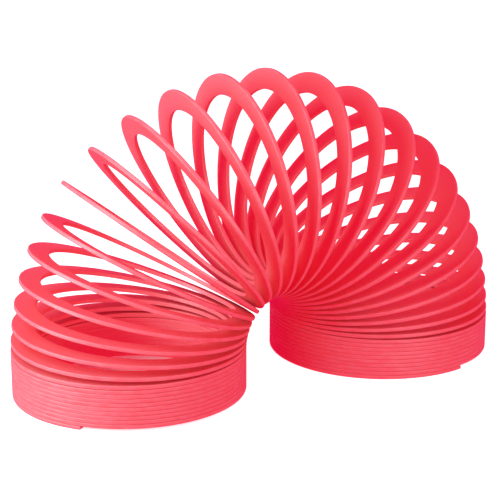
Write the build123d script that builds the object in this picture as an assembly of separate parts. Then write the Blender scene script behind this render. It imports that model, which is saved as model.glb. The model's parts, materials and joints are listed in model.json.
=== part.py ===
from build123d import *

import math
import os

# A spring coil toy: one flat plastic band wound into a left-handed coil, standing as an arch on
# its two closed ends. Each turn of the band is a node of its own, and the turns are divided on
# the inside of the arch, where the band twists to let one turn tilt against the next.
#
# +Z is up. The arch lies in the XZ plane, with the near foot at -X and the far foot at +X, and
# every hinge line between two turns runs along Y. Positions along the band are counted in turns,
# from the free end under the near foot. Lengths are millimetres and angles are radians.

# Driving dimensions
COIL_RADIUS = 37.5                    # outer radius of each turn
BAND_WIDTH = 6.9                      # from the outer rim to the inner edge of the band
BAND_THICKNESS = 1.3
CLOSED_PITCH = 1.362                  # one turn to the next in the closed feet
NEAR_CLOSED_TURNS = 9.7               # turns of the near foot before the coil starts to open
ARCH_TURNS = 24.33                    # turns that are fanned out between the two feet
FREE_END_ANGLE = math.radians(-41.9)  # where the near free end lies around its foot
SEAT_DEPTH = 0.25                     # taken off below each free end, so that it seats flat

# How the arch opens
FAN_RAMP_TURNS = 9.79                 # turns over which the fan reaches its full opening
FAN_RAMP_POWER = 0.85
RIM_SPREAD = 0.03                     # extra pitch of the touching rims at the top of the arch
RIM_SLIDE = 0.219                     # sideways slide of the turns, out on one side, back on the other
RIM_SAG = 0.084                       # sideways slide towards the ground at the top of the arch

# How the band is divided
SEAM_GAP = 0.1                        # between the cut faces of two neighbouring turns
NEAR_FOOT_NODES = 10
ARCH_NODES = 23
SECTIONS_PER_TURN = 24
PATH_STEPS = 6000                     # integration steps along the arch

FULL_TURN = 2 * math.pi
MEAN_BAND_RADIUS = COIL_RADIUS - BAND_WIDTH / 2
ARCH_START = NEAR_CLOSED_TURNS
ARCH_END = NEAR_CLOSED_TURNS + ARCH_TURNS
FIRST_HEIGHT = BAND_THICKNESS / 2 - SEAT_DEPTH


def fan_fraction(turns_into_arch):
    """Share of the arch's half turn that is done, from 0 at the near foot to 1 at the far foot."""
    ramp_share = FAN_RAMP_TURNS / (FAN_RAMP_POWER + 1)
    whole = ARCH_TURNS - 2 * FAN_RAMP_TURNS + 2 * ramp_share
    done = min(max(turns_into_arch, 0), ARCH_TURNS)
    left = ARCH_TURNS - done
    if done < FAN_RAMP_TURNS:
        return ramp_share * (done / FAN_RAMP_TURNS) ** (FAN_RAMP_POWER + 1) / whole
    if left < FAN_RAMP_TURNS:
        return 1 - ramp_share * (left / FAN_RAMP_TURNS) ** (FAN_RAMP_POWER + 1) / whole
    return (ramp_share + done - FAN_RAMP_TURNS) / whole


def tilt(turn):
    """Angle of the coil's axis above +X: straight up in the near foot, straight down in the far."""
    return math.pi / 2 - math.pi * fan_fraction(turn - ARCH_START)


def rim_velocity(turn):
    """How the touching rim on the inside of the arch moves, in millimetres per turn, as (x, z)."""
    angle = tilt(turn)
    share = (turn - ARCH_START) / ARCH_TURNS
    along = CLOSED_PITCH * (1 + RIM_SPREAD * math.sin(math.pi * share) ** 2)
    across = -CLOSED_PITCH * (RIM_SLIDE * math.sin(FULL_TURN * share) + RIM_SAG * math.sin(math.pi * share))
    return (
        along * math.cos(angle) - across * math.sin(angle),
        along * math.sin(angle) + across * math.cos(angle),
    )


def integrate_rim_path():
    """Points (x, z) of the inside rim, evenly spaced in turns from the arch's start to its end."""
    step = ARCH_TURNS / PATH_STEPS
    x = 0.0
    z = FIRST_HEIGHT + CLOSED_PITCH * ARCH_START
    points = [(x, z)]
    for index in range(PATH_STEPS):
        x_speed, z_speed = rim_velocity(ARCH_START + (index + 0.5) * step)
        x += x_speed * step
        z += z_speed * step
        points.append((x, z))
    return points


RIM_PATH = integrate_rim_path()
FAR_CLOSED_TURNS = (RIM_PATH[-1][1] - FIRST_HEIGHT) / CLOSED_PITCH
TOTAL_TURNS = ARCH_END + FAR_CLOSED_TURNS


def rim_point(turn):
    """The inside rim at any turn, as (x, z), before the arch is centred on the origin."""
    if turn <= ARCH_START:
        return 0.0, FIRST_HEIGHT + CLOSED_PITCH * turn
    if turn >= ARCH_END:
        return RIM_PATH[-1][0], FIRST_HEIGHT + CLOSED_PITCH * (TOTAL_TURNS - turn)
    position = (turn - ARCH_START) / ARCH_TURNS * PATH_STEPS
    index = min(int(position), PATH_STEPS - 1)
    part = position - index
    low, high = RIM_PATH[index], RIM_PATH[index + 1]
    return low[0] + part * (high[0] - low[0]), low[1] + part * (high[1] - low[1])


def band_frame(turn):
    """Coil centre, radial direction and axial direction of the band's section at a turn."""
    angle = tilt(turn)
    rim_x, rim_z = rim_point(turn)
    axial = Vector(math.cos(angle), 0, math.sin(angle))
    outward = Vector(-math.sin(angle), 0, math.cos(angle))
    around = FREE_END_ANGLE + FULL_TURN * turn
    radial = outward * math.cos(around) + Vector(0, 1, 0) * math.sin(around)
    centre = Vector(rim_x, 0, rim_z) + outward * COIL_RADIUS
    return centre, radial, axial


def middle_of_length():
    """The X of the middle of the whole toy, from the band's outermost points."""
    samples = int(TOTAL_TURNS * 2 * SECTIONS_PER_TURN)
    reach = []
    for index in range(samples + 1):
        centre, radial, axial = band_frame(TOTAL_TURNS * index / samples)
        reach.append((centre + radial * COIL_RADIUS).X)
    return (min(reach) + max(reach)) / 2


CENTRE_X = middle_of_length()


def band_section(turn):
    """The band's rectangular section at a turn, as a closed wire."""
    centre, radial, axial = band_frame(turn)
    centre = centre - Vector(CENTRE_X, 0, 0)
    half = axial * (BAND_THICKNESS / 2)
    outer = centre + radial * COIL_RADIUS
    inner = centre + radial * (COIL_RADIUS - BAND_WIDTH)
    return Wire.make_polygon([outer - half, outer + half, inner + half, inner - half], close=True)


def band_piece(start, end):
    """The solid band between two positions, counted in turns."""
    spans = math.ceil((end - start) * SECTIONS_PER_TURN)
    sections = [band_section(start + (end - start) * index / spans) for index in range(spans + 1)]
    return Solid.make_loft(sections)


def seat_flat(piece):
    """Cut off what would reach below the ground, which leaves a flat seat under the free end."""
    box = piece.bounding_box()
    depth = 2 * SEAT_DEPTH
    below = Box(2 * box.size.X, 2 * box.size.Y, depth).moved(Location((box.center().X, 0, -depth / 2)))
    return (piece - below).solid()


def seam_turns():
    """Positions of the cuts between the nodes: every time the band passes the inside of the arch."""
    first = (math.pi - FREE_END_ANGLE) / FULL_TURN
    count = int(TOTAL_TURNS - first)
    return [first + index for index in range(1, count)]


def node_names(count):
    """Names of the nodes in order along the band."""
    far = count - NEAR_FOOT_NODES - ARCH_NODES
    names = [f"near_foot_turn_{index + 1:02d}" for index in range(NEAR_FOOT_NODES)]
    names += [f"arch_turn_{index + 1:02d}" for index in range(ARCH_NODES)]
    names += [f"far_foot_turn_{index + 1:02d}" for index in range(far)]
    return names


def node_spans():
    """Each node's name with the start and the end of its stretch of band, in turns."""
    half_gap = SEAM_GAP / 2 / (FULL_TURN * MEAN_BAND_RADIUS)
    seams = seam_turns()
    starts = [0.0] + [seam + half_gap for seam in seams]
    ends = [seam - half_gap for seam in seams] + [TOTAL_TURNS]
    return list(zip(node_names(len(starts)), starts, ends))


def main():
    os.makedirs("parts", exist_ok=True)
    spans = node_spans()
    for name, start, end in spans:
        piece = band_piece(start, end)
        if name in (spans[0][0], spans[-1][0]):
            piece = seat_flat(piece)
        piece.label = name
        export_step(piece, f"parts/{name}.step")


if __name__ == "__main__":
    main()
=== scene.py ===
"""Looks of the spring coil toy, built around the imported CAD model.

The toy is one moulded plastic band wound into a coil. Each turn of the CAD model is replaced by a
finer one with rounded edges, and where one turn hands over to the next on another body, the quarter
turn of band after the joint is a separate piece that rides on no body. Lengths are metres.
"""

import json
import math

import bmesh
import bpy
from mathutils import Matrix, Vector


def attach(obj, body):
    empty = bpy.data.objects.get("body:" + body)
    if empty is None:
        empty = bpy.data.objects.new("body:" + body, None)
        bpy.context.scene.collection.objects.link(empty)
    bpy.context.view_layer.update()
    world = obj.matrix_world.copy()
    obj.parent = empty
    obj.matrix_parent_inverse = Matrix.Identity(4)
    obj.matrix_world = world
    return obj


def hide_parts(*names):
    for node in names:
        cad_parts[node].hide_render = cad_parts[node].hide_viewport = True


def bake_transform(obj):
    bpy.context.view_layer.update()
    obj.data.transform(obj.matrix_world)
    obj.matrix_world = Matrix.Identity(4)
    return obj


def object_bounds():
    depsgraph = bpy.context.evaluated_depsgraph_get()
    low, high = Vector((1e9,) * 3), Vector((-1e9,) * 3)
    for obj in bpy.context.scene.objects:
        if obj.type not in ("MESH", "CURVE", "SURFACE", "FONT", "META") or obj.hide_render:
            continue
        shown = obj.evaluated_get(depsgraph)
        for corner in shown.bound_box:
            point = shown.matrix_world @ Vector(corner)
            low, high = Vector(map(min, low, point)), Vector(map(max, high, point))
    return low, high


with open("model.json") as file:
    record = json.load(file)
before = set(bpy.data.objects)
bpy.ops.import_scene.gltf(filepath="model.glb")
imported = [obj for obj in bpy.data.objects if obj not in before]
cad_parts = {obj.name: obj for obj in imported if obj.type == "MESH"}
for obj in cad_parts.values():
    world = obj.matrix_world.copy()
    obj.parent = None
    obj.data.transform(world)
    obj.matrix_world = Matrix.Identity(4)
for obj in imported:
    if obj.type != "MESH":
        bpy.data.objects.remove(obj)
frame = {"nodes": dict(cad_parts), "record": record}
cad_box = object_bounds()

# The coil's driving dimensions, the same as the CAD model's
COIL_RADIUS = 0.0375
BAND_WIDTH = 0.0069
BAND_THICKNESS = 0.0013
CLOSED_PITCH = 0.001362
NEAR_CLOSED_TURNS = 9.7
ARCH_TURNS = 24.33
FREE_END_ANGLE = math.radians(-41.9)
SEAT_DEPTH = 0.00025
FAN_RAMP_TURNS = 9.79
FAN_RAMP_POWER = 0.85
RIM_SPREAD = 0.03
RIM_SLIDE = 0.219
RIM_SAG = 0.084
PATH_STEPS = 6000

# What the fine band adds
FOOT_THICKNESS = 0.001345       # closed turns press together, so they leave no slit between them
OUTER_EDGE_RADIUS = 0.00030
INNER_EDGE_RADIUS = 0.00016
OUTER_CROWN = 0.00003           # how far the outer rim bulges between its rounded edges
ARC_STEPS = 4
RINGS_PER_TURN = 144
FREE_END_ROUNDING = 0.00035     # length over which a free end is rounded off
FREE_END_STEPS = 4
NORMAL_STEP = 0.001             # in turns, for the band's direction at a ring
LEVEL_WITH_SEAT = 1e-6          # points lower than this are cut off level, as the CAD seat is
QUARTER_TURN = 0.25             # the stretch of band after a joint, built as a piece of its own

FULL_TURN = 2 * math.pi
ARCH_START = NEAR_CLOSED_TURNS
ARCH_END = NEAR_CLOSED_TURNS + ARCH_TURNS
FIRST_HEIGHT = BAND_THICKNESS / 2 - SEAT_DEPTH
Y_AXIS = Vector((0, 1, 0))

# Camera and stage
VIEW_AZIMUTH = math.radians(-28.9)
VIEW_ELEVATION = math.radians(15.5)
VIEW_DISTANCE = 0.5095
VIEW_TARGET = Vector((-0.0031, 0.0003, 0.0402))
VIEW_LENS = 111.75              # millimetres, on the usual sensor
SENSOR_WIDTH = 36
FLOOR_SIZE = 12.0
FLOOR_DEPTH = 0.00005           # below the seat, so that the two faces don't coincide
PAPER_COLOUR = (0.95, 0.93, 0.90)
WHITE = (1.0, 1.0, 1.0)
COOL_WHITE = (0.28, 0.97, 1.0)
SURROUND_RADIUS = 3.0
SURROUND_RED = (1.0, 0.02, 0.24)
SURROUND_GLOW = 0.82


# ---------------------------------------------------------------- the coil's line


def fan_fraction(turns_into_arch):
    """Share of the arch's half turn that is done, from 0 at the near foot to 1 at the far foot."""
    ramp_share = FAN_RAMP_TURNS / (FAN_RAMP_POWER + 1)
    whole = ARCH_TURNS - 2 * FAN_RAMP_TURNS + 2 * ramp_share
    done = min(max(turns_into_arch, 0), ARCH_TURNS)
    left = ARCH_TURNS - done
    if done < FAN_RAMP_TURNS:
        return ramp_share * (done / FAN_RAMP_TURNS) ** (FAN_RAMP_POWER + 1) / whole
    if left < FAN_RAMP_TURNS:
        return 1 - ramp_share * (left / FAN_RAMP_TURNS) ** (FAN_RAMP_POWER + 1) / whole
    return (ramp_share + done - FAN_RAMP_TURNS) / whole


def tilt(turn):
    """Angle of the coil's axis above +X: straight up in the near foot, straight down in the far."""
    return math.pi / 2 - math.pi * fan_fraction(turn - ARCH_START)


def rim_velocity(turn):
    """How the touching rim on the inside of the arch moves, in metres per turn, as (x, z)."""
    angle = tilt(turn)
    share = (turn - ARCH_START) / ARCH_TURNS
    along = CLOSED_PITCH * (1 + RIM_SPREAD * math.sin(math.pi * share) ** 2)
    slide = RIM_SLIDE * math.sin(FULL_TURN * share)
    across = -CLOSED_PITCH * (slide + RIM_SAG * math.sin(math.pi * share))
    return (
        along * math.cos(angle) - across * math.sin(angle),
        along * math.sin(angle) + across * math.cos(angle),
    )


def integrate_rim_path():
    """Points (x, z) of the inside rim, evenly spaced in turns from the arch's start to its end."""
    step = ARCH_TURNS / PATH_STEPS
    x = 0.0
    z = FIRST_HEIGHT + CLOSED_PITCH * ARCH_START
    points = [(x, z)]
    for index in range(PATH_STEPS):
        x_speed, z_speed = rim_velocity(ARCH_START + (index + 0.5) * step)
        x += x_speed * step
        z += z_speed * step
        points.append((x, z))
    return points


RIM_PATH = integrate_rim_path()
FAR_CLOSED_TURNS = (RIM_PATH[-1][1] - FIRST_HEIGHT) / CLOSED_PITCH
TOTAL_TURNS = ARCH_END + FAR_CLOSED_TURNS


def rim_point(turn):
    """The inside rim at any turn, as (x, z), before the arch is centred on the origin."""
    if turn <= ARCH_START:
        return 0.0, FIRST_HEIGHT + CLOSED_PITCH * turn
    if turn >= ARCH_END:
        return RIM_PATH[-1][0], FIRST_HEIGHT + CLOSED_PITCH * (TOTAL_TURNS - turn)
    position = (turn - ARCH_START) / ARCH_TURNS * PATH_STEPS
    index = min(int(position), PATH_STEPS - 1)
    part = position - index
    low, high = RIM_PATH[index], RIM_PATH[index + 1]
    return low[0] + part * (high[0] - low[0]), low[1] + part * (high[1] - low[1])


def coil_frame(turn):
    """Rim point on the inside of the arch, outward direction and axial direction of a turn."""
    angle = tilt(turn)
    rim_x, rim_z = rim_point(turn)
    axial = Vector((math.cos(angle), 0, math.sin(angle)))
    outward = Vector((-math.sin(angle), 0, math.cos(angle)))
    return Vector((rim_x, 0, rim_z)), outward, axial


# The near foot's turns are upright, so their lowest X is one diameter from the rim path's start.
CENTRE_X = -(cad_box[0].x + 2 * COIL_RADIUS)


def band_frame(turn):
    """Coil centre, radial direction and axial direction of the band's section at a turn."""
    rim, outward, axial = coil_frame(turn)
    around = FREE_END_ANGLE + FULL_TURN * turn
    radial = outward * math.cos(around) + Y_AXIS * math.sin(around)
    centre = rim + outward * COIL_RADIUS - Vector((CENTRE_X, 0, 0))
    return centre, radial, axial


# ---------------------------------------------------------------- the band's mesh


def edge_arc(radius, corner_in, corner_up, start_angle):
    """A quarter circle of the section's outline: (inward, up, normal inward, normal up) points."""
    points = []
    for step in range(ARC_STEPS + 1):
        angle = start_angle + math.pi / 2 * step / ARC_STEPS
        normal_in = math.cos(angle)
        normal_up = math.sin(angle)
        place = (corner_in + radius * normal_in, corner_up + radius * normal_up)
        points.append((*place, normal_in, normal_up))
    return points


def band_outline(thickness):
    """The section's outline, counted inward from the outer rim and up along the coil's axis."""
    half = thickness / 2
    outer, inner = OUTER_EDGE_RADIUS, INNER_EDGE_RADIUS
    outline = edge_arc(outer, OUTER_CROWN + outer, -half + outer, math.pi)[::-1]
    outline += [(0.0, 0.0, -1.0, 0.0)]
    outline += edge_arc(outer, OUTER_CROWN + outer, half - outer, math.pi / 2)[::-1]
    outline += edge_arc(inner, BAND_WIDTH - inner, half - inner, 0)[::-1]
    outline += edge_arc(inner, BAND_WIDTH - inner, -half + inner, -math.pi / 2)[::-1]
    return outline


def outline_lengths(outline):
    """Distance along the outline to each of its points."""
    lengths = [0.0]
    for before, after in zip(outline, outline[1:]):
        lengths.append(lengths[-1] + math.dist(before[:2], after[:2]))
    return lengths


def section_point(turn, inward, up):
    """A point of the band's section at a turn."""
    centre, radial, axial = band_frame(turn)
    return centre + radial * (COIL_RADIUS - inward) + axial * up


def ring(outline, turn, shrink):
    """Points and normals of the band's outline at a turn. A free end shrinks by a few rings."""
    centre, radial, axial = band_frame(turn)
    points = []
    normals = []
    for inward, up, normal_in, normal_up in outline:
        inward -= shrink * normal_in
        up -= shrink * normal_up
        point = centre + radial * (COIL_RADIUS - inward) + axial * up
        behind = section_point(turn - NORMAL_STEP, inward, up)
        ahead = section_point(turn + NORMAL_STEP, inward, up) - behind
        around = radial * -normal_up - axial * normal_in
        outside = axial * normal_up - radial * normal_in
        normal = ahead.cross(around).normalized()
        if normal.dot(outside) < 0:
            normal.negate()
        if point.z < LEVEL_WITH_SEAT:
            point.z = 0.0
            normal = Vector((0, 0, -1))
        points.append(point)
        normals.append(normal)
    return points, normals


def band_rings(start, end, free_start, free_end):
    """Turns and shrinks of the rings between two positions, with the free ends rounded off."""
    steps = max(1, round((end - start) * RINGS_PER_TURN))
    stations = [(start + (end - start) * step / steps, 0.0) for step in range(steps + 1)]
    turns_per_metre = 1 / (FULL_TURN * (COIL_RADIUS - BAND_WIDTH / 2))
    rounding = []
    for step in range(FREE_END_STEPS + 1):
        angle = math.pi / 2 * step / FREE_END_STEPS
        back = FREE_END_ROUNDING * (1 - math.sin(angle))
        shrink = FREE_END_ROUNDING * (1 - math.cos(angle))
        rounding.append((back * turns_per_metre, shrink))
    if free_start:
        clear = [place for place in stations if place[0] > start + rounding[0][0]]
        stations = [(start + back, shrink) for back, shrink in reversed(rounding)] + clear
    if free_end:
        clear = [place for place in stations if place[0] < end - rounding[0][0]]
        stations = clear + [(end - back, shrink) for back, shrink in rounding]
    return stations


def band_mesh(name, start, end, thickness=BAND_THICKNESS, free_start=False, free_end=False):
    """The closed mesh of the band between two positions, counted in turns.

    Its point attribute band_place holds the distance along the band, the distance around the
    section and the closeness to the outer rim, for the material."""
    outline = band_outline(thickness)
    lengths = outline_lengths(outline)
    size = len(outline)
    points = []
    normals = []
    places = []
    stations = band_rings(start, end, free_start, free_end)
    for turn, shrink in stations:
        ring_points, ring_normals = ring(outline, turn, shrink)
        points += ring_points
        normals += ring_normals
        along = turn * FULL_TURN * COIL_RADIUS
        for (inward, _, _, _), around in zip(outline, lengths):
            places.append((along, around, 1 - min(inward / BAND_WIDTH, 1)))
    faces = []
    for index in range(len(stations) - 1):
        for corner in range(size):
            following = (corner + 1) % size
            here, there = index * size, (index + 1) * size
            faces.append((here + corner, here + following, there + following, there + corner))
    last = (len(stations) - 1) * size
    caps = [tuple(reversed(range(size))), tuple(range(last, last + size))]
    mesh = bpy.data.meshes.new(name)
    mesh.from_pydata(points, [], faces + caps)
    mesh.polygons.foreach_set("use_smooth", [True] * len(mesh.polygons))
    forward = section_point(end, 0, 0) - section_point(end - NORMAL_STEP, 0, 0)
    back = section_point(start, 0, 0) - section_point(start + NORMAL_STEP, 0, 0)
    corner_normals = []
    for face in faces:
        corner_normals += [normals[vertex] for vertex in face]
    corner_normals += [back.normalized()] * size
    corner_normals += [forward.normalized()] * size
    mesh.normals_split_custom_set(corner_normals)
    place = mesh.attributes.new("band_place", "FLOAT_VECTOR", "POINT")
    place.data.foreach_set("vector", [value for triple in places for value in triple])
    return mesh


def band_piece(name, node, material, start, end, **shape):
    """A piece of fine band that stands for a CAD node, or for a part of one."""
    piece = bpy.data.objects.new(name, band_mesh(name, start, end, **shape))
    bpy.context.scene.collection.objects.link(piece)
    piece.data.materials.append(material)
    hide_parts(node)
    return piece


# ---------------------------------------------------------------- the turns and their bodies


def seam_turns(count):
    """Positions where one node ends and the next begins, on the inside of the arch."""
    first = (math.pi - FREE_END_ANGLE) / FULL_TURN
    return [first + index for index in range(1, count)]


def nodes_in_order():
    """The CAD nodes along the band, from one free end to the other."""
    names = sorted(frame["nodes"])
    groups = ("near_foot_turn_", "arch_turn_", "far_foot_turn_")
    return [name for group in groups for name in names if name.startswith(group)]


def twist_after(piece, seam):
    """Bake the placement of the quarter turn after a seam into its mesh; the piece rides on no body."""
    rim, outward, _ = coil_frame(seam)
    rim = rim - Vector((CENTRE_X, 0, 0))
    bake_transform(piece)


def build_toy(material):
    """Every turn of the band, each riding on its body, with the quarter turn after each joint as a piece
    that rides on no body.

    A turn counts as closed where the turn before it rides on the same body."""
    nodes = nodes_in_order()
    bodies = frame["record"]["behaviour"]["bodies"]
    body_of = {node: body for body, members in bodies.items() for node in members}
    seams = [0.0] + seam_turns(len(nodes)) + [TOTAL_TURNS]
    body_before = body_of[nodes[0]]
    for index, node in enumerate(nodes):
        start, end = seams[index], seams[index + 1]
        body = body_of[node]
        name = node.replace("turn", "band")
        if body != body_before:
            twist = band_piece(name + "_twist", node, material, start, start + QUARTER_TURN)
            twist_after(twist, start)
            start += QUARTER_TURN
        closed = body == body_before
        thickness = FOOT_THICKNESS if closed else BAND_THICKNESS
        ends = {"free_start": index == 0, "free_end": index == len(nodes) - 1}
        piece = band_piece(name, node, material, start, end, thickness=thickness, **ends)
        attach(piece, body)
        body_before = body


# ---------------------------------------------------------------- the material


class Shader:
    """A material and its node tree, with short ways to add and join nodes."""

    def __init__(self, name):
        self.material = bpy.data.materials.new(name)
        self.material.use_nodes = True
        self.tree = self.material.node_tree
        self.surface = self.tree.nodes["Principled BSDF"]

    def add(self, kind, **settings):
        node = self.tree.nodes.new(kind)
        for key, value in settings.items():
            setattr(node, key, value)
        return node

    def join(self, output, target):
        self.tree.links.new(output, target)

    def maths(self, operation, first, second):
        node = self.add("ShaderNodeMath", operation=operation)
        for socket, value in zip(node.inputs, (first, second)):
            if isinstance(value, (int, float)):
                socket.default_value = value
            else:
                self.join(value, socket)
        return node.outputs[0]

    def stretched(self, vector, scale):
        node = self.add("ShaderNodeVectorMath", operation="MULTIPLY")
        self.join(vector, node.inputs[0])
        node.inputs[1].default_value = scale
        return node.outputs[0]

    def noise(self, vector, scale, detail=2.0):
        node = self.add("ShaderNodeTexNoise")
        self.join(vector, node.inputs["Vector"])
        node.inputs["Scale"].default_value = scale
        node.inputs["Detail"].default_value = detail
        return node.outputs["Fac"]

    def ranged(self, value, low, high, to_low, to_high):
        node = self.add("ShaderNodeMapRange", clamp=True)
        self.join(value, node.inputs["Value"])
        node.inputs["From Min"].default_value = low
        node.inputs["From Max"].default_value = high
        node.inputs["To Min"].default_value = to_low
        node.inputs["To Max"].default_value = to_high
        return node.outputs["Result"]

    def mixed(self, factor, first, second):
        node = self.add("ShaderNodeMix", data_type="RGBA")
        self.join(factor, node.inputs[0])
        for socket, value in zip((node.inputs[6], node.inputs[7]), (first, second)):
            if isinstance(value, tuple):
                socket.default_value = (*value, 1)
            else:
                self.join(value, socket)
        return node.outputs[2]


def plastic_material():
    """Red moulded plastic: uneven dye, fine grain, streaks along the band and rubbed rims."""
    shader = Shader("moulded_plastic")
    place = shader.add("ShaderNodeAttribute", attribute_name="band_place").outputs["Vector"]
    split = shader.add("ShaderNodeSeparateXYZ")
    shader.join(place, split.inputs[0])
    surface_place = shader.stretched(place, (1, 1, 0))
    cloud = shader.noise(surface_place, 45, 3)
    grain = shader.noise(surface_place, 2600, 2)
    streaks = shader.noise(shader.stretched(place, (12, 3200, 0)), 1, 2)
    scuffs = shader.noise(shader.stretched(place, (260, 900, 0)), 1, 4)

    dye_share = shader.ranged(cloud, 0.3, 0.7, 0, 1)
    dye = shader.mixed(dye_share, (0.985, 0.140, 0.148), (0.990, 0.165, 0.170))
    rim = shader.ranged(split.outputs["Z"], 0.9, 1.0, 0, 1)
    rubbed = shader.maths("MULTIPLY", rim, shader.ranged(scuffs, 0.42, 0.68, 0.0, 0.35))
    colour = shader.mixed(rubbed, dye, (0.96, 0.29, 0.31))
    shader.join(colour, shader.surface.inputs["Base Color"])

    gloss = shader.ranged(cloud, 0.25, 0.75, 0.36, 0.44)
    roughness = shader.maths("ADD", gloss, shader.maths("MULTIPLY", rubbed, 0.4))
    shader.join(roughness, shader.surface.inputs["Roughness"])
    shader.surface.inputs["IOR"].default_value = 1.54
    shader.surface.inputs["Subsurface Weight"].default_value = 0.10
    shader.surface.inputs["Subsurface Radius"].default_value = (1.0, 0.15, 0.25)
    shader.surface.inputs["Subsurface Scale"].default_value = 0.002

    height = shader.maths("ADD", shader.maths("MULTIPLY", grain, 0.5), streaks)
    bump = shader.add("ShaderNodeBump")
    bump.inputs["Strength"].default_value = 0.25
    bump.inputs["Distance"].default_value = 0.00001
    shader.join(height, bump.inputs["Height"])
    shader.join(bump.outputs["Normal"], shader.surface.inputs["Normal"])
    return shader.material


# ---------------------------------------------------------------- the studio


def direction(azimuth, elevation):
    """The unit vector from the object towards a place seen at an azimuth and an elevation."""
    level = math.cos(elevation)
    return Vector((math.sin(azimuth) * level, -math.cos(azimuth) * level, math.sin(elevation)))


def add_camera():
    camera = bpy.data.objects.new("camera", bpy.data.cameras.new("camera"))
    bpy.context.scene.collection.objects.link(camera)
    camera.data.sensor_width = SENSOR_WIDTH
    camera.data.lens = VIEW_LENS
    towards = direction(VIEW_AZIMUTH, VIEW_ELEVATION)
    camera.location = VIEW_TARGET + towards * VIEW_DISTANCE
    camera.rotation_euler = (-towards).to_track_quat("-Z", "Y").to_euler()
    bpy.context.scene.camera = camera


def add_floor():
    """Glowing white paper, with painted shade inside the near foot: it gives off no light there, where
    only red light from the plastic reaches it.
    """
    half = FLOOR_SIZE / 2
    corners = [(-half, -half, 0), (half, -half, 0), (half, half, 0), (-half, half, 0)]
    mesh = bpy.data.meshes.new("floor")
    mesh.from_pydata(corners, [], [(0, 1, 2, 3)])
    floor = bpy.data.objects.new("floor", mesh)
    floor.location.z = -FLOOR_DEPTH
    bpy.context.scene.collection.objects.link(floor)
    shader = Shader("floor_paper_with_painted_shade")
    # Painted shade: the paper's emission falls to none inside the near foot's bore, so the paper there
    # is darker.
    spot = shader.add("ShaderNodeNewGeometry").outputs["Position"]
    reach = shader.add("ShaderNodeVectorMath", operation="DISTANCE")
    shader.join(spot, reach.inputs[0])
    reach.inputs[1].default_value = (cad_box[0].x + COIL_RADIUS, 0, -FLOOR_DEPTH)
    glow_with_painted_shade = shader.ranged(reach.outputs["Value"], COIL_RADIUS - BAND_WIDTH, COIL_RADIUS, 0.0, 1.0)
    shader.join(glow_with_painted_shade, shader.surface.inputs["Emission Strength"])
    shader.surface.inputs["Emission Color"].default_value = (*WHITE, 1)
    shader.surface.inputs["Base Color"].default_value = (*PAPER_COLOUR, 1)
    shader.surface.inputs["Roughness"].default_value = 0.8
    shader.surface.inputs["Specular IOR Level"].default_value = 0.1
    mesh.materials.append(shader.material)
    floor.visible_diffuse = False
    floor.visible_glossy = False


def facing_object(azimuth, elevation, distance):
    """Place and rotation of a lamp that faces the object from a direction in degrees."""
    towards = direction(math.radians(azimuth), math.radians(elevation))
    return towards * distance, (-towards).to_track_quat("-Z", "Y").to_euler()


def add_soft_light(name, azimuth, elevation, distance, size, radiance, glossy=True):
    """A cool square softbox, which the sheen shows too if it is glossy.

    Its power follows from how bright its face looks."""
    light = bpy.data.lights.new(name, "AREA")
    light.color = COOL_WHITE
    light.size = size
    light.energy = radiance * math.pi * size * size
    holder = bpy.data.objects.new(name, light)
    holder.location, holder.rotation_euler = facing_object(azimuth, elevation, distance)
    holder.visible_camera = False
    holder.visible_glossy = glossy
    bpy.context.scene.collection.objects.link(holder)


def add_surround():
    """A dim red sphere round everything, for the warm fill that reaches into the coil."""
    mesh = bpy.data.meshes.new("surround")
    shape = bmesh.new()
    bmesh.ops.create_icosphere(shape, subdivisions=3, radius=SURROUND_RADIUS)
    shape.to_mesh(mesh)
    shape.free()
    surround = bpy.data.objects.new("surround", mesh)
    bpy.context.scene.collection.objects.link(surround)
    shader = Shader("surround")
    shader.surface.inputs["Base Color"].default_value = (0, 0, 0, 1)
    shader.surface.inputs["Emission Color"].default_value = (*SURROUND_RED, 1)
    shader.surface.inputs["Emission Strength"].default_value = SURROUND_GLOW
    shader.material.cycles.emission_sampling = "NONE"
    mesh.materials.append(shader.material)
    surround.visible_camera = False


def add_walls():
    """White walls that only the camera sees."""
    world = bpy.data.worlds.new("studio")
    world.use_nodes = True
    world.node_tree.nodes["Background"].inputs["Color"].default_value = (*WHITE, 1)
    world.node_tree.nodes["Background"].inputs["Strength"].default_value = 1.0
    bpy.context.scene.world = world
    world.cycles_visibility.glossy = False
    world.cycles_visibility.diffuse = False
    bpy.context.scene.view_settings.view_transform = "Standard"


def add_studio():
    """White walls, softboxes all round and a red fill."""
    add_walls()
    add_soft_light("key", azimuth=-95, elevation=12, distance=0.45, size=0.24, radiance=10.0)
    add_soft_light("high_key", azimuth=-85, elevation=42, distance=0.5, size=0.3, radiance=5.5)
    add_soft_light("front", azimuth=8, elevation=6, distance=1.2, size=0.7, radiance=6.5)
    add_soft_light("back", azimuth=140, elevation=12, distance=1.2, size=1.0, radiance=1.4, glossy=False)
    add_surround()


add_camera()
add_floor()
add_studio()
build_toy(plastic_material())
